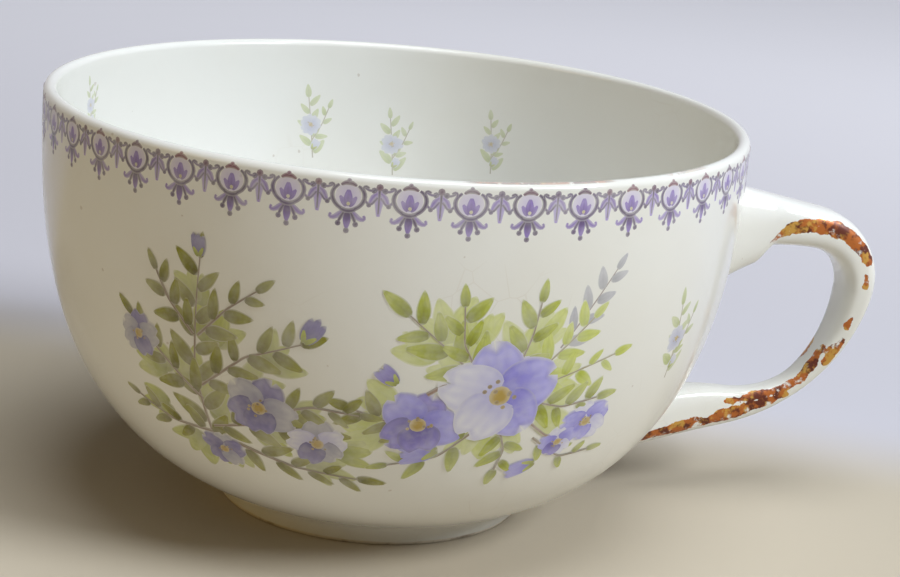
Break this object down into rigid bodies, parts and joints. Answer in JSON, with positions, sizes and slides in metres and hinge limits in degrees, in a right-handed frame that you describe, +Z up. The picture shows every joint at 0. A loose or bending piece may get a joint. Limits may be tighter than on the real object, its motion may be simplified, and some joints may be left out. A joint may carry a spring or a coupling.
{
  "type": "flat tea cup",
  "caption": "Low round porcelain tea cup with a full belly, a small foot ring and a strap loop handle that swells to a knee at its upper root and spreads at its lower root.",
  "frame": {"origin": "the cup's axis at the plane that the tread stands on", "axes": "+Z up along the cup's axis, +X from the axis towards the handle, +Y across the handle"},
  "size_m": [0.1194, 0.095, 0.056],
  "materials": {
    "glazed_porcelain": "clear gloss glaze over white porcelain, printed border and flower sprays, worn gilding",
    "bare_clay": "glazed sides, bare fired tread"
  },
  "bodies": {
    "root": {"bowl": "glazed_porcelain", "foot_ring": "bare_clay", "handle": "glazed_porcelain", "upper_joint": "glazed_porcelain", "lower_joint": "glazed_porcelain"}
  },
  "joints": []
}
